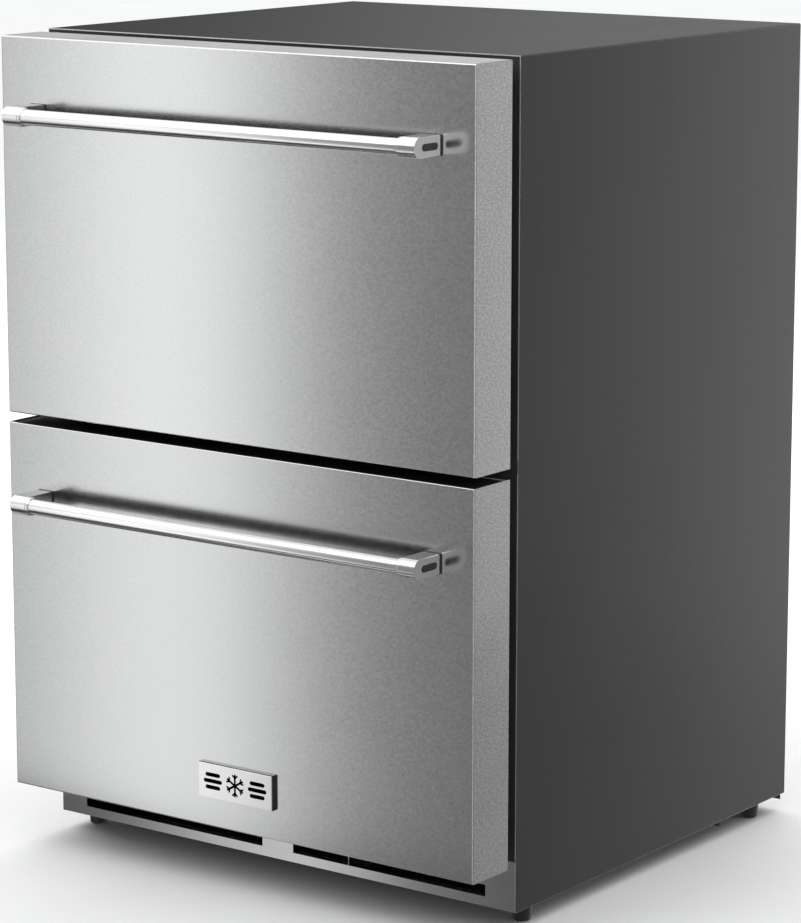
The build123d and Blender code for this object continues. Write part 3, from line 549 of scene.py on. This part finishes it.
def add_block(mesh, low, high, bevel=0.0, segments=2):
    """Box between two corners with rounded edges."""
    corners = [
        mesh.verts.new((x, y, z)) for x in (low[0], high[0]) for y in (low[1], high[1])
        for z in (low[2], high[2])
    ]
    faces = [
        mesh.faces.new([corners[i] for i in loop])
        for loop in ((0, 1, 3, 2), (4, 6, 7, 5), (0, 4, 5, 1), (2, 3, 7, 6), (0, 2, 6, 4), (1, 5, 7, 3))
    ]
    if bevel:
        edges = {edge for face in faces for edge in face.edges}
        bmesh.ops.bevel(mesh, geom=list(edges), offset=bevel, segments=segments, affect="EDGES")


def add_lathe(mesh, profile, centre, axis, segments=48):
    """Solid of revolution; profile holds (radius, height along the axis)."""
    turn = Vector((0, 0, 1)).rotation_difference(Vector(axis)).to_matrix()
    rings = []
    for radius, height in profile:
        if radius == 0.0:
            rings.append([mesh.verts.new(Vector(centre) + turn @ Vector((0, 0, height)))])
            continue
        ring = []
        for step in range(segments):
            angle = 2 * math.pi * step / segments
            point = Vector((radius * math.cos(angle), radius * math.sin(angle), height))
            ring.append(mesh.verts.new(Vector(centre) + turn @ point))
        rings.append(ring)
    for below, above in zip(rings, rings[1:]):
        for step in range(segments):
            after = (step + 1) % segments
            corners = [below[step % len(below)], below[after % len(below)],
                       above[after % len(above)], above[step % len(above)]]
            unique = list(dict.fromkeys(corners))
            if len(unique) > 2:
                mesh.faces.new(unique)


def add_prism(mesh, outline, origin, across, up, depth, bevel=0.0):
    """Flat outline in the plane of across and up, thickened along their cross product."""
    across, up = Vector(across), Vector(up)
    normal = across.cross(up)
    base = [mesh.verts.new(Vector(origin) + across * u + up * v) for u, v in outline]
    top = [mesh.verts.new(vert.co + normal * depth) for vert in base]
    mesh.faces.new(base[::-1])
    lid = mesh.faces.new(top)
    for step in range(len(base)):
        after = (step + 1) % len(base)
        mesh.faces.new((base[step], base[after], top[after], top[step]))
    if bevel:
        bmesh.ops.bevel(mesh, geom=list(lid.edges), offset=bevel, segments=2, affect="EDGES")


def stadium(length, width, steps=10):
    """Outline of a bar with round ends, along the first axis."""
    points = []
    for side in (1, -1):
        for step in range(steps + 1):
            angle = math.pi * (step / steps - 0.5)
            reach = side * ((length - width) / 2 + width / 2 * math.cos(angle))
            points.append((reach, side * width / 2 * math.sin(angle)))
    return points


def rounded_outline(x, y, radius, steps=8):
    """Rectangle outline between limits, with round corners."""
    corners = (
        (x[1] - radius, y[1] - radius, 0.0), (x[0] + radius, y[1] - radius, 0.5),
        (x[0] + radius, y[0] + radius, 1.0), (x[1] - radius, y[0] + radius, 1.5),
    )
    points = []
    for middle_x, middle_y, start in corners:
        for step in range(steps + 1):
            angle = math.pi * (start + 0.5 * step / steps)
            points.append((middle_x + radius * math.cos(angle), middle_y + radius * math.sin(angle)))
    return points


# ---------------------------------------------------------------- handles
def handle_posts(finishes):
    """Posts with a round nose about the bar, flat cheeks and softened outer edges."""
    for level in LEVELS:
        low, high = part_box(f"{level}_handle_posts")
        bar_low, bar_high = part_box(f"{level}_handle_bar")
        axis_z = (low[2] + high[2]) / 2
        post_r = (high[2] - low[2]) / 2
        bar_y = low[1] + post_r
        reach = high[1] - bar_y
        nose = [(-post_r * math.cos(angle), post_r * math.sin(angle)) for angle in arc(-90, 90, 24)]
        outline = [(u, -v) for u, v in nose] + [(reach, -post_r), (reach, post_r)]
        thick = high[0] - bar_high[0]
        soft_edge = 0.9 * MM
        mesh = bmesh.new()
        for side in (-1, 1):
            inner_x = bar_high[0] if side > 0 else bar_low[0]
            sided = [(side * u, v) for u, v in outline]
            add_prism(
                mesh, sided, (inner_x, bar_y, axis_z), (0, side, 0), (0, 0, 1), thick, soft_edge
            )
        posts = piece(
            f"{level}_handle_posts_shaped", mesh, finishes["handle_metal"], f"{level}_drawer",
        )
        posts.data.materials.append(finishes["handle_end"])
        for face in posts.data.polygons:
            outward = abs(face.normal.x) > 0.99 and face.normal.x * face.center.x > 0.0
            face.material_index = 1 if outward else 0
        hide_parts(f"{level}_handle_posts")


def handle_collar(name, side, centre, bar_r, finish, body):
    """Stepped ring where a bar enters its post."""
    snug = bar_r + 0.05 * MM
    lip = bar_r + 0.8 * MM
    shoulder = bar_r + 1.3 * MM
    rim = bar_r + 1.7 * MM
    ring = [
        (snug, 0.0), (shoulder, 0.0), (rim, 0.5 * MM), (rim, 2.2 * MM), (lip, 3.4 * MM),
        (snug, 3.6 * MM), (snug, 0.0),
    ]
    mesh = bmesh.new()
    add_lathe(mesh, ring, centre, (-side, 0, 0))
    piece(name, mesh, finish, body)


def handle_inlay(name, side, centre, finish, body):
    """Plain dark strip with round ends on a post's end face."""
    length, width = 25.0 * MM, 7.0 * MM
    proud, soft_edge = 0.35 * MM, 0.12 * MM
    mesh = bmesh.new()
    add_prism(mesh, stadium(length, width), centre, (0, side, 0), (0, 0, 1), proud, soft_edge)
    piece(name, mesh, finish, body)


def handle_details(finishes):
    """Collar where each bar enters its post, and a dark inlay on each post's end face."""
    for level in LEVELS:
        body = f"{level}_drawer"
        low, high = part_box(f"{level}_handle_bar")
        bar_r = (high[2] - low[2]) / 2
        bar_y = (low[1] + high[1]) / 2
        axis_z = (low[2] + high[2]) / 2
        inlay_y = (bar_y + FRONT_Y) / 2 - 2.0 * MM
        post_low, post_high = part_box(f"{level}_handle_posts")
        for side, label in ((-1, "left"), (1, "right")):
            inner_x = high[0] if side > 0 else low[0]
            outer_x = post_high[0] if side > 0 else post_low[0]
            handle_collar(
                f"{level}_handle_collar_{label}", side, (inner_x, bar_y, axis_z), bar_r,
                finishes["handle_metal"], body,
            )
            handle_inlay(
                f"{level}_handle_inlay_{label}", side, (outer_x, inlay_y, axis_z),
                finishes["mark_black"], body,
            )


# ---------------------------------------------------------------- badge
def badge_body(finishes):
    """Base block whose sides are black as a painted dark reflection and whose top is metal, with a bright
    bevelled face plate on it, in place of the plain badge.
    """
    low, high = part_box("badge_plate")
    face = 1.3 * MM
    inset = 0.5 * MM
    base_edge, face_edge = 0.35 * MM, 0.45 * MM
    mesh = bmesh.new()
    add_block(mesh, (low[0], low[1] + face, low[2]), high, base_edge)
    base = piece("badge_base", mesh, finishes["mark_black"], "lower_drawer")
    base.data.materials.append(finishes["badge_metal"])
    # Only the top face is metal; the black sides are a painted dark reflection.
    for polygon in base.data.polygons:
        polygon.material_index = 1 if polygon.normal.z > 0.9 else 0
    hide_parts("badge_plate")
    mesh = bmesh.new()
    add_block(
        mesh, (low[0] + inset, low[1], low[2] + inset),
        (high[0] - inset, low[1] + face, high[2] - inset), face_edge, 3,
    )
    piece("badge_face", mesh, finishes["badge_metal"], "lower_drawer")


def add_badge_mark(mesh, centre, outline, place, angle=0.0):
    """Thin raised mark on the badge, turned and then shifted from its centre."""
    proud = 0.3 * MM
    turned = [
        (place[0] + u * math.cos(angle) - v * math.sin(angle),
         place[1] + u * math.sin(angle) + v * math.cos(angle))
        for u, v in outline
    ]
    add_prism(mesh, turned, centre, (1, 0, 0), (0, 0, 1), -proud)


def polar(reach, angle, start=(0.0, 0.0)):
    """Point at a reach and an angle from a start."""
    return (start[0] + reach * math.cos(angle), start[1] + reach * math.sin(angle))


def badge_emblem(finishes):
    """Plain snowflake between bars, raised on the badge."""
    low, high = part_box("badge_plate")
    width, height = high[0] - low[0], high[2] - low[2]
    centre = ((low[0] + high[0]) / 2, low[1], low[2] + 0.5 * height)

    arm = 0.33 * height
    branch = 0.46 * arm
    branch_reach = 0.18 * arm
    arm_width, branch_width = 2.4 * MM, 1.9 * MM
    mesh = bmesh.new()
    for step in range(6):
        angle = math.pi * (step / 3 + 0.5)
        add_badge_mark(mesh, centre, stadium(arm, arm_width), polar(0.5 * arm, angle), angle)
        root = polar(0.62 * arm, angle)
        for lean in (-1, 1):
            turn = angle + lean * math.pi / 4
            middle = polar(branch_reach, turn, root)
            add_badge_mark(mesh, centre, stadium(branch, branch_width), middle, turn)
    piece("badge_snowflake", mesh, finishes["mark_black"], "lower_drawer")

    bar_width, bar_pitch = 4.2 * MM, 6.6 * MM
    mesh = bmesh.new()
    for side in (-1, 1):
        for row in (-1, 0, 1):
            length = (0.25 - 0.05 * abs(row)) * width
            add_badge_mark(mesh, centre, stadium(length, bar_width), (side * 0.3 * width, row * bar_pitch))
    piece("badge_bars", mesh, finishes["mark_black"], "lower_drawer")


# ---------------------------------------------------------------- cabinet trim
def cabinet_edges(finishes):
    """Bright rolled hem along the wrapper's front edges and its lower side edges."""
    low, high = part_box("outer_wrapper")
    hem = 1.1 * MM
    proud = 0.25 * MM
    soft_edge = 0.1 * MM
    side_spans = [sorted((side * SIDE_X, side * (SIDE_X - hem))) for side in (-1, 1)]
    mesh = bmesh.new()
    for x in side_spans:
        add_block(mesh, (x[0], low[1] - proud, low[2]), (x[1], low[1], high[2]), soft_edge)
    add_block(
        mesh, (low[0] + hem, low[1] - proud, high[2] - hem), (high[0] - hem, low[1], high[2]),
        soft_edge,
    )
    piece("wrapper_front_hem", mesh, finishes["edge_steel"], "cabinet")
    mesh = bmesh.new()
    for x in side_spans:
        add_block(mesh, (x[0], low[1], low[2] - proud), (x[1], high[1], low[2]), soft_edge)
    piece("wrapper_lower_hem", mesh, finishes["edge_steel"], "cabinet")


def top_flange(finishes):
    """Satin flange along the top of the upper drawer front, where the skin is folded back."""
    low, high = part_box("upper_front_skin")
    fold = 1.6 * MM
    proud = 0.2 * MM
    soft_edge = 0.15 * MM
    mesh = bmesh.new()
    add_block(
        mesh, (low[0] + fold, low[1] + fold, high[2] - proud),
        (high[0] - fold, high[1], high[2] + proud), soft_edge,
    )
    piece("upper_front_flange", mesh, finishes["flange_steel"], "upper_drawer")


def screw_heads(finishes):
    """Domed heads with a cross recess in place of the plain screws."""
    groups = grouped_screws(nodes["cabinet_screws"].data)
    for place, finish in (("rear", "screw_steel"), ("front", "mark_black")):
        mesh = bmesh.new()
        for points in groups:
            middle = sum(points, Vector()) / len(points)
            if (middle.y > 0) == (place == "rear"):
                add_screw_head(mesh, points, middle, place == "rear")
        heads = piece(f"screw_heads_{place}", mesh, finishes[finish], "cabinet")
    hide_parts("cabinet_screws")


def add_screw_head(mesh, points, middle, at_back):
    """Dome with a cross recess, where one screw's head stands."""
    outward = 1 if at_back else -1
    reach = outward * max(outward * point.y for point in points)
    radius = max(math.hypot(point.x - middle.x, point.z - middle.z) for point in points)
    height = 1.0 * MM if at_back else 0.4 * MM
    start_y = reach - outward * height
    dome = [(0.0, 0.0), (radius, 0.0), (radius, 0.35 * height), (0.8 * radius, 0.8 * height),
            (0.45 * radius, height), (0.42 * radius, 0.45 * height), (0.0, 0.3 * height)]
    add_lathe(mesh, dome, (middle.x, start_y, middle.z), (0, outward, 0), 32)
    y = sorted((start_y + outward * 0.35 * height, start_y + outward * 0.75 * height))
    cross_long, cross_short = 0.34 * radius, 0.08 * radius
    for half in ((cross_long, cross_short), (cross_short, cross_long)):
        add_block(
            mesh, (middle.x - half[0], y[0], middle.z - half[1]),
            (middle.x + half[0], y[1], middle.z + half[1]),
        )


def grouped_screws(source):
    """Vertices of each separate screw, found by their place across and up."""
    screw_reach = 10.0 * MM
    groups = []
    for vert in source.vertices:
        for group in groups:
            if math.hypot(group[0].x - vert.co.x, group[0].z - vert.co.z) < screw_reach:
                group.append(vert.co.copy())
                break
        else:
            groups.append([vert.co.copy()])
    return groups


def foot_profile(radius, cup):
    """Half section of a foot's base: round underside, slight taper and a straight collar."""
    round_r = 3.0 * MM
    soft_edge = 0.6 * MM
    under_r = radius - 1.2 * MM
    collar_z = 16.0 * MM
    under = [
        (under_r - round_r * (1 - math.sin(angle)), round_r * (1 - math.cos(angle)))
        for angle in arc(0, 90, 6)
    ]
    collar = [(radius, collar_z), (radius, cup - soft_edge), (radius - soft_edge, cup)]
    return [(0.0, 0.0), *under, *collar, (0.0, cup)]


def stud_profile(start, end):
    """Half section of a threaded stud between two heights."""
    crest_r = 4.0 * MM
    root_r = crest_r - 0.45 * MM
    pitch = 1.25 * MM
    turns = int((end - start) / pitch)
    profile = [(0.0, start)]
    for turn in range(turns):
        height = start + turn * pitch
        profile += [(root_r, height), (crest_r, height + 0.5 * pitch)]
    return [*profile, (root_r, start + turns * pitch), (0.0, start + turns * pitch)]


def feet(finishes):
    """Levelling feet with a moulded tapered base and a threaded stud."""
    cup = 19.2 * MM
    for name in ("foot_front_left", "foot_front_right", "foot_rear_left", "foot_rear_right"):
        low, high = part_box(name)
        radius = (high[0] - low[0]) / 2
        centre = ((low[0] + high[0]) / 2, (low[1] + high[1]) / 2, 0.0)
        mesh = bmesh.new()
        add_lathe(mesh, foot_profile(radius, cup), centre, (0, 0, 1))
        foot_base = piece(f"{name}_base", mesh, finishes["black_plastic"], name)
        mesh = bmesh.new()
        add_lathe(mesh, stud_profile(cup, high[2]), centre, (0, 0, 1), 32)
        piece(f"{name}_stud", mesh, finishes["zinc_steel"], name)
        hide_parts(name)


# ---------------------------------------------------------------- control panel
def add_button_symbol(mesh, symbol, origin):
    """Raised power sign, minus or plus at the middle of a button."""
    across, up = (1, 0, 0), (0, 0, 1)
    thick = -0.12 * MM
    outer_r, inner_r = 1.9 * MM, 1.4 * MM
    stroke = 0.6 * MM
    if symbol == "power":
        gap = 35
        angles = arc(gap, 360 - gap, 24)
        ring = [(outer_r * math.sin(angle), outer_r * math.cos(angle)) for angle in angles]
        ring += [(inner_r * math.sin(angle), inner_r * math.cos(angle)) for angle in angles[::-1]]
        add_prism(mesh, ring, origin, across, up, thick)
        half, foot, tip = 0.25 * MM, 0.2 * MM, 2.3 * MM
        stem = [(-half, foot), (half, foot), (half, tip), (-half, tip)]
        add_prism(mesh, stem, origin, across, up, thick)
        return
    bar = stadium(3.6 * MM, stroke)
    add_prism(mesh, bar, origin, across, up, thick)
    if symbol == "plus":
        upright = [(v, u) for u, v in bar][::-1]
        add_prism(mesh, upright, origin, across, up, 1.5 * thick)


def digit_bar(key, width, height):
    """Outline of one lit bar of a seven-bar digit; a, g and d lie level and the rest stand."""
    stroke = 0.8 * MM
    rows = {"a": 1, "g": 0, "d": -1}
    if key in rows:
        return [(u, v + rows[key] * height / 2) for u, v in stadium(0.8 * width, stroke, 3)]
    side = 1 if key in "bc" else -1
    rise = 1 if key in "bf" else -1
    level = stadium(0.42 * height, stroke, 3)
    return [(v + side * width / 2, u + rise * height / 4) for u, v in level][::-1]


def control_marks(finishes):
    """Symbols on the buttons and a generic number on the display."""
    symbols = {"power_button": "power", "colder_button": "minus", "warmer_button": "plus"}
    for name, symbol in symbols.items():
        low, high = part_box(name)
        mesh = bmesh.new()
        add_button_symbol(mesh, symbol, ((low[0] + high[0]) / 2, low[1], (low[2] + high[2]) / 2))
        piece(f"{name}_mark", mesh, finishes["mark_white"], name)

    low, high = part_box("display_lens")
    height = 0.6 * (high[2] - low[2])
    width = 0.55 * height
    spacing = 1.7 * width
    thick = -0.08 * MM
    mesh = bmesh.new()
    for index, lit in enumerate(("abgcd", "abcdefg")):
        middle_x = 0.5 * (low[0] + high[0]) + (index - 0.5) * spacing
        middle = (middle_x, low[1], 0.5 * (low[2] + high[2]))
        for key in lit:
            add_prism(mesh, digit_bar(key, width, height), middle, (1, 0, 0), (0, 0, 1), thick)
    piece("display_digits", mesh, finishes["mark_white"], "cabinet")


# ---------------------------------------------------------------- drawers
def join_loops(mesh, below, above):
    """Band of faces between two closed loops with as many vertices."""
    for step in range(len(below)):
        after = (step + 1) % len(below)
        mesh.faces.new((below[step], below[after], above[after], above[step]))


def bin_section(floor_z, rim_z):
    """Half section of a folded bin as (inset, height): up the outside, then down the inside."""
    sheet = 1.2 * MM
    bend = 5.0 * MM
    inner_bend = 0.8
    curve = [(bend * (1 - math.sin(angle)), bend * (1 - math.cos(angle))) for angle in arc(0, 90, 5)]
    outer = [(inset, floor_z + rise) for inset, rise in curve]
    inner = [
        (sheet + inset * inner_bend, floor_z + sheet + rise * inner_bend) for inset, rise in curve[::-1]
    ]
    return [*outer, (0.0, rim_z), (sheet, rim_z), *inner]


def bin_shells(finishes):
    """Folded bins with rounded bends and a rolled rim."""
    rim = 6.0 * MM
    rim_thick, rim_edge = 1.5 * MM, 0.6 * MM
    corner, least_corner = 14.0 * MM, 4.0 * MM
    for level in LEVELS:
        low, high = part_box(f"{level}_bin")
        x = (low[0] + rim, high[0] - rim)
        y = (low[1], high[1])
        mesh = bmesh.new()
        loops = []
        for inset, height in bin_section(low[2], high[2]):
            outline = rounded_outline(
                (x[0] + inset, x[1] - inset), (y[0] + inset, y[1] - inset),
                max(corner - inset, least_corner),
            )
            loops.append([mesh.verts.new((u, v, height)) for u, v in outline])
        for below, above in zip(loops, loops[1:]):
            join_loops(mesh, below, above)
        mesh.faces.new(loops[0][::-1])
        mesh.faces.new(loops[-1])
        for side in (-1, 1):
            rim_x = sorted((side * x[1], side * (x[1] + rim)))
            add_block(
                mesh, (rim_x[0], y[0], high[2] - rim_thick), (rim_x[1], y[1] - corner, high[2]), rim_edge
            )
        shell = piece(f"{level}_bin_shell", mesh, finishes["bin_steel"], f"{level}_drawer")
        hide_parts(f"{level}_bin")


def gasket_seals(finishes):
    """Ribbed magnetic seals: base, two bellows folds and the magnet pocket."""
    half = [(7.0, 0.0), (7.0, 2.4), (4.2, 3.2), (5.6, 5.0), (4.0, 6.8), (5.2, 8.4), (6.6, 9.4),
            (6.6, 13.4), (5.8, 14.0)]
    band = half[0][0] * MM
    corner, least_corner = 9.0 * MM, 2.0 * MM
    profile = [(-half[0][0], 0.0), *half, *[(-offset, depth) for offset, depth in half[:0:-1]]]
    for level in LEVELS:
        low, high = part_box(f"{level}_gasket")
        mesh = bmesh.new()
        loops = []
        for offset, depth in profile:
            shift = band - offset * MM
            outline = rounded_outline(
                (low[0] + shift, high[0] - shift), (low[2] + shift, high[2] - shift),
                max(corner - shift / 2, least_corner),
            )
            loops.append([mesh.verts.new((u, low[1] + depth * MM, v)) for u, v in outline])
        for below, above in zip(loops, loops[1:] + loops[:1]):
            join_loops(mesh, below, above)
        seal = piece(
            f"{level}_gasket_seal", mesh, finishes["gasket_rubber"], f"{level}_drawer"
        )
        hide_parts(f"{level}_gasket")


# ---------------------------------------------------------------- build
make_camera()
finishes = make_materials()
make_stage()
dress_frame(finishes)
handle_posts(finishes)
handle_details(finishes)
badge_body(finishes)
badge_emblem(finishes)
cabinet_edges(finishes)
top_flange(finishes)
screw_heads(finishes)
feet(finishes)
control_marks(finishes)
bin_shells(finishes)
gasket_seals(finishes)
